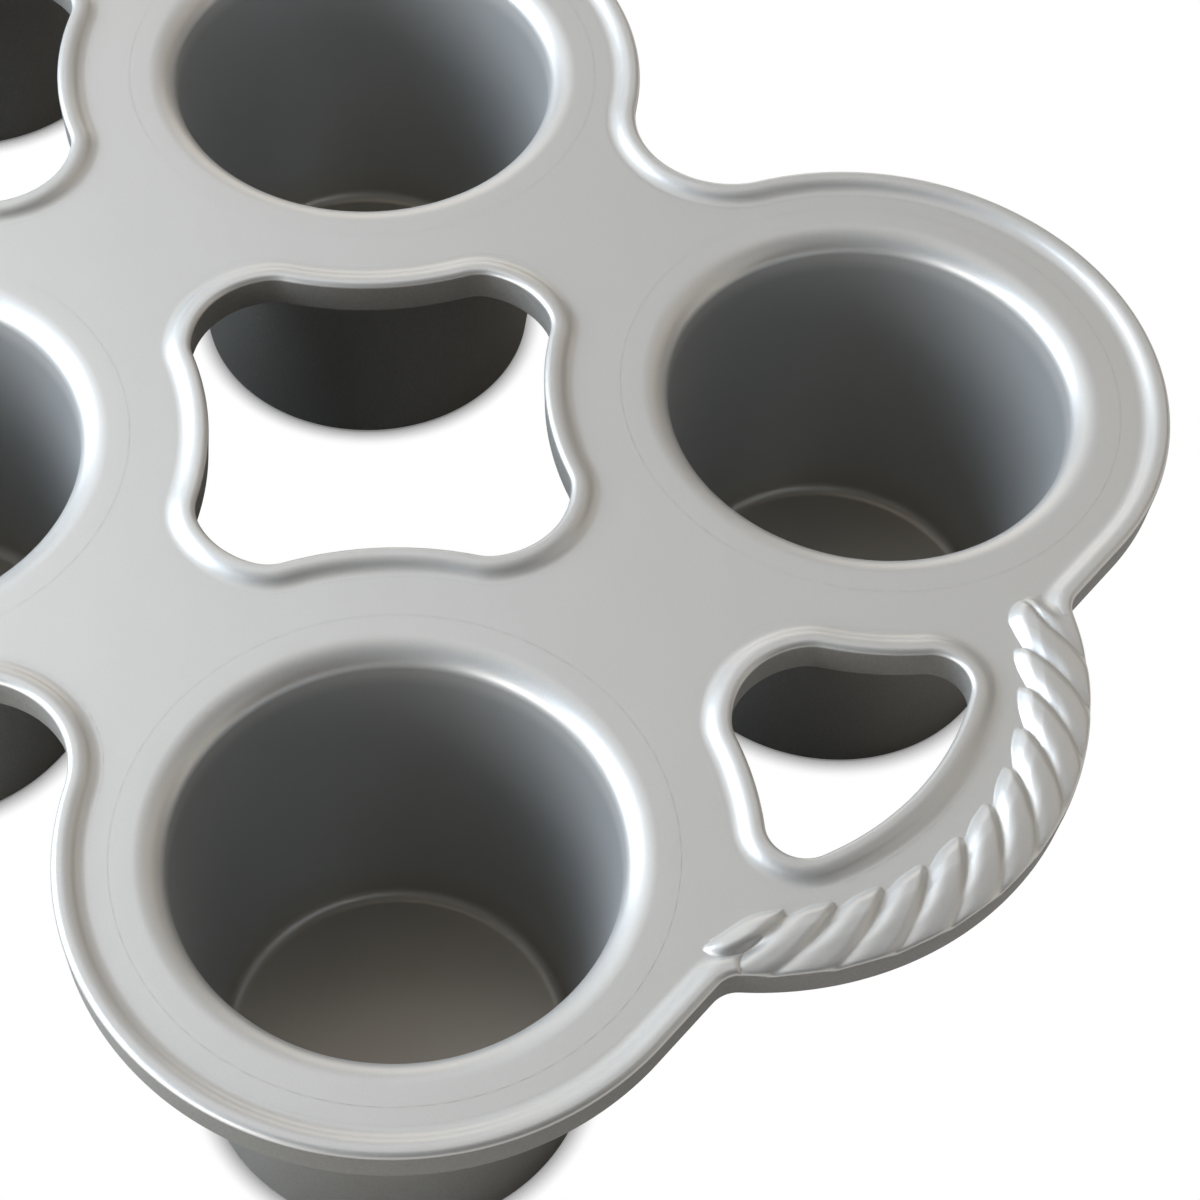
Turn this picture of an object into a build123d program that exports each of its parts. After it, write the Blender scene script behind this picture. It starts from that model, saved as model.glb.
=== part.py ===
from build123d import *
import os
from math import atan2, cos, degrees, radians, sin, sqrt, tan

# Popover pan: six deep tapered cups hang from one flat cast deck with a rope-pattern grip at each end
# Lengths are in millimetres and angles in degrees
# The origin is under the middle of the pan, on the surface the cups stand on, with X along the pan

# Rows and columns of cups
columns = (-1, 0, 1)
rows = (-1, 1)

# Cup
mouth_edge_radius = 42.9
mouth_round = 5.9
wall_taper = 5.0
cup_wall = 3.4
floor_thickness = 3.2
floor_round = 2.5
foot_round = 1.25
root_round = 4.0

# Deck
deck_height = 71.7
deck_thickness = 3.2
skirt_depth = 6.2
skirt_width = 3.6
skirt_draft = 0.4
skirt_foot_round = 0.7
skirt_root_round = 1.2

# Raised bead that follows every edge of the deck
bead_width = 5.8
bead_rise = 1.4
bead_edge_round = 1.1

# Rings round each cup, from the edge of its mouth outwards
collar_width = 3.0
deck_ring_width = 3.1
flank_step = 5.0

# Space left between the flank rings of neighbouring cups
column_gap = 5.4
row_gap = 9.9

# Outer outline of the deck
notch_radius = 17.5
handle_shift = 20.0
handle_swell = 4.6
shoulder_radius = 5.0

# Ends of the windows between the cups, and how round their corners are for their half width
window_end_angle = 21.9
window_tip_angle = 24.0
window_end_round_share = 0.92
window_tip_round_share = 1.08

# Finger holes in the handles
hole_setback = 9.5
hole_bow_step = 5.2
hole_tip_radius = 6.3

# Rope grip, with its end angles measured from where the handle meets the shoulder
rope_width = 12.6
grip_lean_angle = 5.7
grip_edge_round = 1.2
core_end_angle = 1.8
core_rise = 1.1
core_side_drop = 0.8

# Strands of the rope, each a spindle that lies slantwise over the core
strand_count = 12
strand_lead_angle = 9.8
strand_finish_angle = 3.4
strand_sweep_angle = 15.0
strand_end_radius = 2.0
strand_end_turn = 70.0
strand_inner_margin = 2.2
strand_outer_margin = 2.2
strand_top = 3.1
strand_steps = 10

# Where the cutting tools run past what they cut
overrun = 2.0

# Sizes of one cup that follow from the ones above
deck_underside = deck_height - deck_thickness
mouth_radius = mouth_edge_radius - mouth_round / tan(radians(90 + wall_taper) / 2)
floor_corner_radius = mouth_radius - (deck_height - floor_thickness) * tan(radians(wall_taper))
wall_run = cup_wall / cos(radians(wall_taper))
foot_radius = mouth_radius - deck_height * tan(radians(wall_taper)) + wall_run
root_radius = foot_radius + deck_underside * tan(radians(wall_taper))
collar_radius = mouth_edge_radius + collar_width

# Layout of the deck
outline_radius = collar_radius + deck_ring_width + bead_width
flank_radius = outline_radius + flank_step
cup_pitch_x = 2 * flank_radius + column_gap
cup_pitch_y = 2 * flank_radius + row_gap
cup_row_y = cup_pitch_y / 2
end_x = cup_pitch_x + outline_radius
window_half_length = cup_pitch_x / 2 - flank_radius * sin(radians(window_end_angle))
window_half_width = cup_row_y - flank_radius * sin(radians(window_tip_angle))
window_end_space = cup_row_y - flank_radius * cos(radians(window_end_angle))
window_tip_space = cup_pitch_x / 2 - flank_radius * cos(radians(window_tip_angle))
window_end_round = window_end_round_share * window_end_space
window_tip_round = window_tip_round_share * window_tip_space

# Handle at the +X end
handle_centre_x = cup_pitch_x + handle_shift
handle_radius = outline_radius + handle_swell
shoulder_centre_x = end_x + shoulder_radius
shoulder_reach = handle_radius + shoulder_radius
shoulder_centre_y = sqrt(shoulder_reach ** 2 - (shoulder_centre_x - handle_centre_x) ** 2)
grip_end_y = shoulder_centre_y * handle_radius / shoulder_reach
grip_end_angle = degrees(atan2(shoulder_centre_y, shoulder_centre_x - handle_centre_x))
grip_inner_radius = handle_radius - rope_width
hole_far_edge = handle_centre_x + grip_inner_radius - hole_setback
hole_bow_radius = grip_inner_radius + hole_bow_step
grip_half_angle = grip_end_angle + grip_lean_angle
core_half_angle = grip_end_angle - core_end_angle
strand_first_angle = grip_end_angle + strand_lead_angle
strand_last_angle = strand_finish_angle - grip_end_angle
strand_pitch_angle = (strand_first_angle - strand_last_angle) / (strand_count - 1)


def rounded(face, corners):
    # Rounds the corner of a flat face that lies nearest each given spot
    for spot, radius in corners:
        corner = face.vertices().sort_by_distance(spot)[0]
        face = fillet(corner, radius)
    return face


def cup_centres():
    return [(column * cup_pitch_x, row * cup_row_y) for row in rows for column in columns]


def deck_outline(inset):
    # The outer edge of the deck, drawn inwards by the inset
    edge_radius = outline_radius - inset
    notch_cut = notch_radius + inset
    end_edge = end_x - inset
    face = Rectangle(2 * end_edge, cup_pitch_y)
    for x, y in cup_centres():
        face += Pos(x, y) * Circle(edge_radius)
    reach = outline_radius + notch_radius
    notch_y = cup_row_y + sqrt(reach ** 2 - (cup_pitch_x / 2) ** 2)
    for side in rows:
        for column in columns[:-1]:
            left = (column * cup_pitch_x, side * cup_row_y)
            right = ((column + 1) * cup_pitch_x, side * cup_row_y)
            top = ((column + 1 / 2) * cup_pitch_x, side * notch_y)
            web = make_face(Polyline(left, right, top, close=True))
            face += web
            face -= Pos(*top) * Circle(notch_cut)
    for side in rows:
        face += Pos(side * handle_centre_x, 0) * Circle(handle_radius - inset)
    shoulders = []
    corner_y = sqrt((handle_radius - inset) ** 2 - (end_edge - handle_centre_x) ** 2)
    for side_x in rows:
        for side_y in rows:
            spot = (side_x * end_edge, side_y * corner_y)
            shoulders.append((spot, shoulder_radius + inset))
    return rounded(face, shoulders)


def clear_of_cups(face, middle_x, flank):
    # Cuts the four nearest cup rings out of a face centred between cups
    for side_x in rows:
        for side_y in rows:
            face -= Pos(middle_x + side_x * cup_pitch_x / 2, side_y * cup_row_y) * Circle(flank)
    return face


def window_outline(outset):
    # A four-pointed opening with sides that run round the cups, centred on the origin
    half_length = window_half_length + outset
    half_width = window_half_width + outset
    flank = flank_radius - outset
    face = clear_of_cups(Rectangle(2 * half_length, 2 * half_width), 0, flank)
    end_y = cup_row_y - sqrt(flank ** 2 - (cup_pitch_x / 2 - half_length) ** 2)
    side_x = cup_pitch_x / 2 - sqrt(flank ** 2 - (cup_row_y - half_width) ** 2)
    corners = []
    for sx in rows:
        for sy in rows:
            corners.append(((sx * half_length, sy * end_y), window_end_round + outset))
            corners.append(((sx * side_x, sy * half_width), window_tip_round + outset))
    return rounded(face, corners)


def hole_outline(outset):
    # The finger hole of the handle at the +X end: a window end closed by a bowed far side
    near_edge = cup_pitch_x + cup_pitch_x / 2 - window_half_length - outset
    flank = flank_radius - outset
    bow = hole_bow_radius + outset
    bow_centre_x = hole_far_edge - hole_bow_radius
    face = Pos(bow_centre_x, 0) * Circle(bow)
    face -= Pos(near_edge - bow, 0) * Rectangle(2 * bow, 2 * bow)
    for side in rows:
        face -= Pos(cup_pitch_x, side * cup_row_y) * Circle(flank)
    near_y = cup_row_y - sqrt(flank ** 2 - (near_edge - cup_pitch_x) ** 2)
    # The far corner is where the cup ring crosses the bowed side
    step_x = bow_centre_x - cup_pitch_x
    span = sqrt(step_x ** 2 + cup_row_y ** 2)
    along = (flank ** 2 - bow ** 2 + span ** 2) / (2 * span)
    across = sqrt(flank ** 2 - along ** 2)
    far_x = cup_pitch_x + (along * step_x + across * cup_row_y) / span
    far_y = cup_row_y + (across * step_x - along * cup_row_y) / span
    corners = []
    for side in rows:
        corners.append(((near_edge, side * near_y), window_end_round + outset))
        corners.append(((far_x, side * far_y), hole_tip_radius + outset))
    return rounded(face, corners)


def bead_section():
    # Bead and skirt in section: X runs from the edge into the deck, Y is height over the deck
    crest_x = bead_edge_round
    fall = bead_width - crest_x
    turn = 2 * atan2(bead_rise, fall)
    fall_radius = fall / (2 * sin(turn))
    wall_top = bead_rise - bead_edge_round
    wall = Line((skirt_draft, -skirt_depth), (0, wall_top))
    edge = JernArc(wall @ 1, (0, 1), bead_edge_round, -90)
    crest = JernArc(edge @ 1, (1, 0), fall_radius, -degrees(turn))
    cove = JernArc(crest @ 1, crest % 1, fall_radius, degrees(turn))
    body = Polyline(
        cove @ 1,
        (bead_width, -deck_thickness),
        (skirt_width, -deck_thickness),
        (skirt_width, -skirt_depth),
        wall @ 0,
    )
    face = make_face(Curve() + [wall, edge, crest, cove, body])
    corners = [
        ((skirt_draft, -skirt_depth), skirt_foot_round),
        ((skirt_width, -skirt_depth), skirt_foot_round),
        ((skirt_width, -deck_thickness), skirt_root_round),
    ]
    return rounded(face, corners)


def bead_along(outline, material_inside):
    # Carries the bead section along every edge of an outline, turning it about each arc's centre
    section = bead_section()
    ring = Part()
    for edge in outline.face().outer_wire().edges():
        side = Vector(0, 0, 1).cross(edge % 0.5).normalized()
        probe = edge @ 0.5 + side * (bead_width / 2)
        if outline.face().is_inside(probe) != material_inside:
            side = side * -1
        flip = 1 if Vector(0, 0, 1).cross(edge % 0.5).dot(side) > 0 else -1
        start = edge @ 0
        inward = Vector(0, 0, 1).cross(edge % 0).normalized() * flip
        plane = Plane(origin=start, x_dir=inward, z_dir=inward.cross(Vector(0, 0, 1)))
        placed = plane * section
        if edge.geom_type == GeomType.LINE:
            ring += extrude(placed, amount=edge.length, dir=edge % 0)
        else:
            centre = edge.arc_center
            spin = (start - centre).cross(edge % 0).Z
            axis = Axis(centre, (0, 0, 1 if spin > 0 else -1))
            ring += revolve(placed, axis, degrees(edge.length / edge.radius))
    return Pos(0, 0, deck_height) * ring


def cup():
    # One cup about the Z axis, from its foot up to the collar that it shares with the deck
    points = [
        (0, 0),
        (foot_radius, 0),
        (root_radius, deck_underside),
        (collar_radius, deck_underside),
        (collar_radius, deck_height),
        (mouth_radius, deck_height),
        (floor_corner_radius, floor_thickness),
        (0, floor_thickness),
    ]
    face = make_face(Polyline(*points, close=True))
    corners = [
        (points[1], foot_round),
        (points[2], root_round),
        (points[5], mouth_round),
        (points[6], floor_round),
    ]
    return revolve(Plane.XZ * rounded(face, corners), Axis.Z)


def grip_plan(half_angle, inner, outer):
    # Plan of the rope grip at the +X end: part of a ring about the handle centre
    face = Circle(outer) - Circle(inner)
    far = 2 * handle_radius
    wedge_top = (far * cos(radians(half_angle)), far * sin(radians(half_angle)))
    wedge_bottom = (wedge_top[0], -wedge_top[1])
    face &= make_face(Polyline((0, 0), wedge_bottom, wedge_top, close=True))
    face &= Rectangle(far, 2 * grip_end_y, align=(Align.MIN, Align.CENTER))
    return Pos(handle_centre_x, 0) * face


def grip_space():
    # Everything above the skirt inside the plan of the grip
    plan = grip_plan(grip_half_angle, grip_inner_radius, handle_radius)
    height = deck_thickness + strand_top + overrun
    return Pos(0, 0, deck_underside) * extrude(plan, amount=height)


def strand_point(start_angle, share):
    # A point of a strand's centre line in plan, from the inner side of the rope at 0 to the outer at 1
    inner = grip_inner_radius + strand_inner_margin
    outer = handle_radius - strand_outer_margin
    radius = inner + (outer - inner) * share
    angle = radians(start_angle - strand_sweep_angle * share)
    return Vector(radius * cos(angle), radius * sin(angle), 0)


def spindle(half_length):
    # A solid of revolution about the X axis: round ends joined by one long shallow arc
    lean = 90 - strand_end_turn
    end_run = strand_end_radius * (1 - cos(radians(strand_end_turn)))
    body_radius = (half_length - end_run) / sin(radians(lean))
    head = JernArc((-half_length, 0), (0, 1), strand_end_radius, -strand_end_turn)
    body = JernArc(head @ 1, head % 1, body_radius, -2 * lean)
    tail = JernArc(body @ 1, body % 1, strand_end_radius, -strand_end_turn)
    middle_radius = (body @ 0.5).Y
    section = make_face(Curve() + [head, body, tail, Line(tail @ 1, head @ 0)])
    return revolve(section, Axis.X), middle_radius


def strand(start_angle):
    # One strand of the rope, cut short where it would run past the end of the grip
    limit = grip_end_y - strand_end_radius
    shares = [step / strand_steps for step in range(strand_steps + 1)]
    points = [strand_point(start_angle, share) for share in shares]
    points = [point for point in points if abs(point.Y) <= limit]
    run = points[-1] - points[0]
    solid, middle_radius = spindle(run.length / 2 + strand_end_radius)
    middle = (points[0] + points[-1]) / 2 + Vector(0, 0, strand_top - middle_radius)
    return Plane(origin=middle, x_dir=run, z_dir=(0, 0, 1)) * solid


def rope_grip():
    # The rope at the +X end: a rounded core on a flat base, with strands laid slantwise over it
    corners = [
        (grip_inner_radius, -deck_thickness),
        (handle_radius, -deck_thickness),
        (handle_radius, 0),
        (grip_inner_radius, 0),
    ]
    base = rounded(make_face(Polyline(*corners, close=True)), [(corners[2], grip_edge_round)])
    base = Rot(0, 0, -90) * revolve(Plane.XZ * base, Axis.Z, 180)
    core_middle = (grip_inner_radius + handle_radius) / 2
    hump = ThreePointArc(corners[3], (core_middle, core_rise), (handle_radius, -core_side_drop))
    sides = Polyline(hump @ 1, corners[1], corners[0], hump @ 0)
    core = revolve(Plane.XZ * make_face(Curve() + [hump, sides]), Axis.Z, 2 * core_half_angle)
    rope = base + Rot(0, 0, -core_half_angle) * core
    for count in range(strand_count):
        rope += strand(strand_first_angle - count * strand_pitch_angle)
    return Pos(handle_centre_x, 0, deck_height) * rope & grip_space()


os.makedirs("parts", exist_ok=True)
nodes = {}

single_cup = cup()
for number, (x, y) in enumerate(cup_centres(), start=1):
    nodes[f"cup_{number}"] = Pos(x, y, 0) * single_cup

turned = Rot(0, 0, 180)
grip_cut = grip_space()

deck_plan = deck_outline(bead_width)
for side in rows:
    deck_plan -= Pos(side * cup_pitch_x / 2, 0) * window_outline(bead_width)
hole_plan = hole_outline(bead_width)
deck_plan -= hole_plan
deck_plan -= turned * hole_plan
for x, y in cup_centres():
    deck_plan -= Pos(x, y) * Circle(collar_radius)
deck = Pos(0, 0, deck_underside) * extrude(deck_plan, amount=deck_thickness)
nodes["deck"] = deck - grip_cut - turned * grip_cut

rim = bead_along(deck_outline(0), True)
nodes["outer_rim"] = rim - grip_cut - turned * grip_cut

window_rim = bead_along(window_outline(0), False)
nodes["window_rim_1"] = Pos(-cup_pitch_x / 2, 0) * window_rim
nodes["window_rim_2"] = Pos(cup_pitch_x / 2, 0) * window_rim

hole_rim = bead_along(hole_outline(0), False)
nodes["handle_hole_rim_1"] = turned * hole_rim
nodes["handle_hole_rim_2"] = hole_rim

grip = rope_grip()
nodes["rope_grip_1"] = turned * grip
nodes["rope_grip_2"] = grip

for name, solid in nodes.items():
    export_step(solid, f"parts/{name}.step")
    box = solid.bounding_box()
    print(name, len(solid.solids()), round(solid.volume), box.min, box.max)
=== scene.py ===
import math

import bpy
import numpy as np
from mathutils import Matrix


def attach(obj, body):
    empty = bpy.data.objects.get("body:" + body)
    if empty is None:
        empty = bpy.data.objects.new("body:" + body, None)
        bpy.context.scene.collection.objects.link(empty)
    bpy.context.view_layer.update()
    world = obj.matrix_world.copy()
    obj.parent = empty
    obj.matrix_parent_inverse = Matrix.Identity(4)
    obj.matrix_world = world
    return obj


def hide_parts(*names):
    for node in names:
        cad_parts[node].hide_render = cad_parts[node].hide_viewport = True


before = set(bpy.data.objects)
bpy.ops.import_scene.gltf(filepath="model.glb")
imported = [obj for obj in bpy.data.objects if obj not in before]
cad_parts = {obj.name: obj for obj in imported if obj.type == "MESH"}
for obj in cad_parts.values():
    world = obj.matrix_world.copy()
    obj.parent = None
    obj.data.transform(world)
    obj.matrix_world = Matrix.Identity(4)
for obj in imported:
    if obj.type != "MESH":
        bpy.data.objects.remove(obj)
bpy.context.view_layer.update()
print("stage: frame loaded, nodes", len(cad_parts))

mm = 0.001
far = 20.0      # a distance in mm beyond the reach of any edge

# The deck that everything hangs from
deck = {
    "height": 71.7,
    "thickness": 3.2,
    "pitchX": 125.0,
    "pitchY": 129.5,
    "outlineRadius": 54.8,
    "notchRadius": 17.5,
    "flankRadius": 59.8,
    "windowHalfLength": 40.2,
    "windowHalfWidth": 40.43,
    "windowBow": 16.0,      # radius of the bowed ends of a window
    "windowCorner": 8.0,
    "holeFarX": 182.3,      # how far a finger hole reaches, with a bow of holeBow there
    "holeBow": 52.0,
    "holeTip": 6.3,
    "handleX": 145.0,
    "handleRadius": 59.4,
    "shoulderRadius": 5.0,
}
rowY = deck["pitchY"] / 2
halfPitch = deck["pitchX"] / 2


def hexColour(text):
    # sRGB hex to linear RGBA
    parts = np.array([int(text[i:i + 2], 16) for i in (1, 3, 5)]) / 255
    linear = np.where(parts <= 0.04045, parts / 12.92, ((parts + 0.055) / 1.055) ** 2.4)
    return (*linear, 1.0)


def arcPoints(centre, radius, start, end, count):
    # Points on an arc: centre plus radius times the cosine and sine of an evenly stepped angle
    turn = np.radians(np.linspace(start, end, count))
    return np.asarray(centre) + radius * np.stack([np.cos(turn), np.sin(turn)], axis=1)


def roundCorners(corners, radii, count=9):
    # A polyline with each inner corner replaced by an arc: the arc starts and ends one tangent length,
    # radius times tan(half the turn), from the corner, and its centre lies on the corner's bisector
    corners = np.asarray(corners, float)
    out = [corners[:1]]
    for i in range(1, len(corners) - 1):
        into = corners[i] - corners[i - 1]
        away = corners[i + 1] - corners[i]
        into, away = into / np.linalg.norm(into), away / np.linalg.norm(away)
        cross = into[0] * away[1] - into[1] * away[0]
        turn = math.atan2(cross, float(into @ away))
        if radii[i] <= 0 or abs(turn) < 1e-6:
            out.append(corners[i:i + 1])
            continue
        side = math.copysign(1, turn)
        begin = corners[i] - into * radii[i] * math.tan(abs(turn) / 2)
        centre = begin + radii[i] * side * np.array([-into[1], into[0]])
        first = math.degrees(math.atan2(*(begin - centre)[::-1]))
        out.append(arcPoints(centre, radii[i], first, first + math.degrees(turn), count))
    out.append(corners[-1:])
    return np.vstack(out)


def tangentLoop(circles, step=0.75):
    # A closed outline round a list of circles (x, y, signed radius: plus turns left, minus turns right).
    # Between two circles the outline is their common tangent, whose normal n obeys
    # (next centre - this centre) . n = this radius - next radius. Returns points and normals n,
    # which point to the right of the way round
    circles = np.asarray(circles, float)
    after = np.roll(circles, -1, axis=0)
    gap = after[:, :2] - circles[:, :2]
    share = np.clip((circles[:, 2] - after[:, 2]) / np.linalg.norm(gap, axis=1), -1, 1)
    leave = np.arctan2(gap[:, 1], gap[:, 0]) - np.arccos(share)
    arrive = np.roll(leave, 1)
    spots, normals = [], []
    for (x, y, radius), a, b, (nx, ny, nextRadius) in zip(circles, arrive, leave, after):
        sweep = (b - a) % math.tau if radius > 0 else -((a - b) % math.tau)
        if abs(sweep) > math.tau - 1e-6:
            sweep = 0.0
        count = max(3, int(math.ceil(abs(sweep * radius) / step)))
        angle = a + sweep * np.linspace(0, 1, count + 1)
        n = np.stack([np.cos(angle), np.sin(angle)], axis=1)
        spots.append(np.array([x, y]) + radius * n)
        normals.append(n)
        start, end = spots[-1][-1], np.array([nx, ny]) + nextRadius * n[-1]
        run = np.linalg.norm(end - start)
        inner = np.linspace(0, 1, int(run / step) + 2)[1:-1, None]
        spots.append(start + (end - start) * inner)
        normals.append(np.repeat(n[-1:], len(inner), axis=0))
    spots, normals = np.vstack(spots), np.vstack(normals)
    keep = np.linalg.norm(spots - np.roll(spots, 1, axis=0), axis=1) > 1e-4
    return spots[keep], normals[keep]


def gridFaces(rows, columns, loopRows, loopColumns):
    # Quads between neighbouring grid points, wrapping round where a direction is closed
    r = np.arange(rows if loopRows else rows - 1)
    c = np.arange(columns if loopColumns else columns - 1)
    r, c = np.meshgrid(r, c, indexing="ij")
    r, c = r.ravel(), c.ravel()
    r2, c2 = (r + 1) % rows, (c + 1) % columns
    return np.stack([r * columns + c, r2 * columns + c, r2 * columns + c2, r * columns + c2], axis=1)


def makeMesh(name, points, faces, caps=(), sharpAngle=40, faceMaterial=None, materials=()):
    # points in mm as an array of n x 3, faces as quads; caps are rings of point numbers, each closed
    # with a fan round its own middle point. Faces are turned to point outwards by the sign of the volume
    points = np.asarray(points, float)
    triangles = []
    for ring in caps:
        ring = np.asarray(ring)
        points = np.vstack([points, points[ring].mean(axis=0)])
        hub = np.full(len(ring), len(points) - 1)
        triangles.append(np.stack([ring, np.roll(ring, -1), hub], axis=1))
    triangles = np.vstack(triangles) if triangles else np.zeros((0, 3), int)
    a, b, c, d = points[faces].transpose(1, 0, 2)
    volume = np.einsum("ij,ij->", a, np.cross(b, c)) + np.einsum("ij,ij->", a, np.cross(c, d))
    if volume < 0:
        faces, triangles = faces[:, ::-1], triangles[:, ::-1]
    mesh = bpy.data.meshes.new(name)
    mesh.from_pydata(points * mm, [], [*faces.tolist(), *triangles.tolist()])
    mesh.polygons.foreach_set("use_smooth", np.ones(len(mesh.polygons), bool))
    for material in materials:
        mesh.materials.append(material)
    if faceMaterial is not None:
        index = np.zeros(len(mesh.polygons), np.int32)
        index[:len(faceMaterial)] = faceMaterial
        mesh.polygons.foreach_set("material_index", index)
    mesh.set_sharp_from_angle(angle=math.radians(sharpAngle))
    mesh.validate()
    mesh.update()
    piece = bpy.data.objects.new(name, mesh)
    bpy.context.scene.collection.objects.link(piece)
    return piece


def place(piece, *nodes):
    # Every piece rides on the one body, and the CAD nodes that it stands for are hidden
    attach(piece, "root")
    if nodes:
        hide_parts(*nodes)
    return piece


# Finishes


def addNode(tree, kind, settings=None, **links):
    # Adds a node, sets its properties, then fills its inputs: a socket is linked, anything else is a value.
    # An input is named by its label without spaces, or by i and its number
    node = tree.nodes.new(kind)
    for key, value in (settings or {}).items():
        setattr(node, key, value)
    for key, value in links.items():
        found = [s for s in node.inputs if s.name.replace(" ", "") == key and s.enabled]
        socket = node.inputs[int(key[1:])] if key[0] == "i" and key[1:].isdigit() else found[0]
        if isinstance(value, bpy.types.NodeSocket):
            tree.links.new(value, socket)
        else:
            socket.default_value = value
    return node


def newMaterial(name):
    material = bpy.data.materials.new(name)
    material.use_nodes = True
    tree = material.node_tree
    tree.nodes.clear()
    return material, tree


# Satin metallic coat on the cast top: light grey with a fine sparkle
coat = {
    "light": "#cfcecb",
    "dark": "#c2c1be",
    # inside and floor are painted light: the coat darkened as painted shade deep in the cups, and warmed as
    # painted bounce light at their floors
    "inside": "#b0b1b0",
    "floor": "#afaaa1",
    "roughness": 0.42,
    "roughnessSpread": 0.04,
    "metal": 0.6,
    "flakeSize": 0.32,      # real sparkle of a few tenths of a millimetre
    "flakeTilt": 0.12,
    "flakeDepth": 0.05,
    "flakeDull": 0.3,       # the flakes' noise between these values spreads the roughness
    "flakeBright": 0.7,
    "waveSize": 14.0,       # slow unevenness of a cast face
    "waveTilt": 0.25,
    "waveDepth": 0.4,
    "wallFrom": 0.12,       # the coat ends where the upward part of a face's direction falls between these
    "wallTo": 0.5,
    "skinFrom": 0.5,        # and between these depths below the deck's face
    "skinTo": 0.1,
    "shadeFrom": 4.0,       # painted shade: inside a cup the coat turns darker between these depths
    "shadeTo": 8.0,
    "warmFrom": 14.0,       # and a painted warm bounce light between these heights over the feet
    "warmTo": 4.0,
}
# Sandblasted casting below and outside: darker, rough and grainy
blasted = {
    "light": "#979590",
    "dark": "#787671",
    "roughness": 0.6,
    "metal": 0.4,
    "grainSize": 0.55,      # real grain of a blasted casting
    "grainTilt": 0.5,
    "grainDepth": 0.12,
}


def coatShader(tree, place3d, depth=None, low=None):
    # Flakes tilt the light a little and shift its brightness by a few percent
    flakes = addNode(tree, "ShaderNodeTexNoise", Vector=place3d, Scale=1 / (coat["flakeSize"] * mm),
                     Detail=2.0, Roughness=0.6)
    wave = addNode(tree, "ShaderNodeTexNoise", Vector=place3d, Scale=1 / (coat["waveSize"] * mm),
                   Detail=2.0, Roughness=0.5)
    tone = addNode(tree, "ShaderNodeMix", {"data_type": "RGBA"}, i0=flakes.outputs["Fac"],
                   i6=hexColour(coat["dark"]), i7=hexColour(coat["light"]))
    colour = tone.outputs[2]
    # Painted shade and light: with depth in a cup the colour goes towards the darker inside colour, and near
    # the cup's floor towards the warmer floor colour, a painted warm bounce light
    if depth is not None:
        inner = addNode(tree, "ShaderNodeMix", {"data_type": "RGBA"}, i0=depth, i6=colour,
                        i7=hexColour(coat["inside"]))
        warm = addNode(tree, "ShaderNodeMix", {"data_type": "RGBA"}, i0=low, i6=inner.outputs[2],
                       i7=hexColour(coat["floor"]))
        colour = warm.outputs[2]
    rough = addNode(tree, "ShaderNodeMapRange", Value=flakes.outputs["Fac"],
                    i1=coat["flakeDull"], i2=coat["flakeBright"],
                    i3=coat["roughness"] - coat["roughnessSpread"],
                    i4=coat["roughness"] + coat["roughnessSpread"])
    soft = addNode(tree, "ShaderNodeBump", Strength=coat["waveTilt"], Distance=coat["waveDepth"] * mm,
                   Height=wave.outputs["Fac"])
    bump = addNode(tree, "ShaderNodeBump", Strength=coat["flakeTilt"], Distance=coat["flakeDepth"] * mm,
                   Height=flakes.outputs["Fac"], Normal=soft.outputs[0])
    return addNode(tree, "ShaderNodeBsdfPrincipled", BaseColor=colour, Metallic=coat["metal"],
                   Roughness=rough.outputs[0], Normal=bump.outputs[0])


def blastedShader(tree, place3d):
    grain = addNode(tree, "ShaderNodeTexNoise", Vector=place3d, Scale=1 / (blasted["grainSize"] * mm),
                    Detail=3.0, Roughness=0.6)
    tone = addNode(tree, "ShaderNodeMix", {"data_type": "RGBA"}, i0=grain.outputs["Fac"],
                   i6=hexColour(blasted["dark"]), i7=hexColour(blasted["light"]))
    bump = addNode(tree, "ShaderNodeBump", Strength=blasted["grainTilt"], Distance=blasted["grainDepth"] * mm,
                   Height=grain.outputs["Fac"])
    return addNode(tree, "ShaderNodeBsdfPrincipled", BaseColor=tone.outputs[2], Metallic=blasted["metal"],
                   Roughness=blasted["roughness"], Normal=bump.outputs[0])


def between(tree, value, start, end, smooth=True):
    # 0 to 1 while value goes from start to end
    kind = {"interpolation_type": "SMOOTHSTEP" if smooth else "LINEAR"}
    return addNode(tree, "ShaderNodeMapRange", kind, Value=value, i1=start, i2=end).outputs[0]


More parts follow.
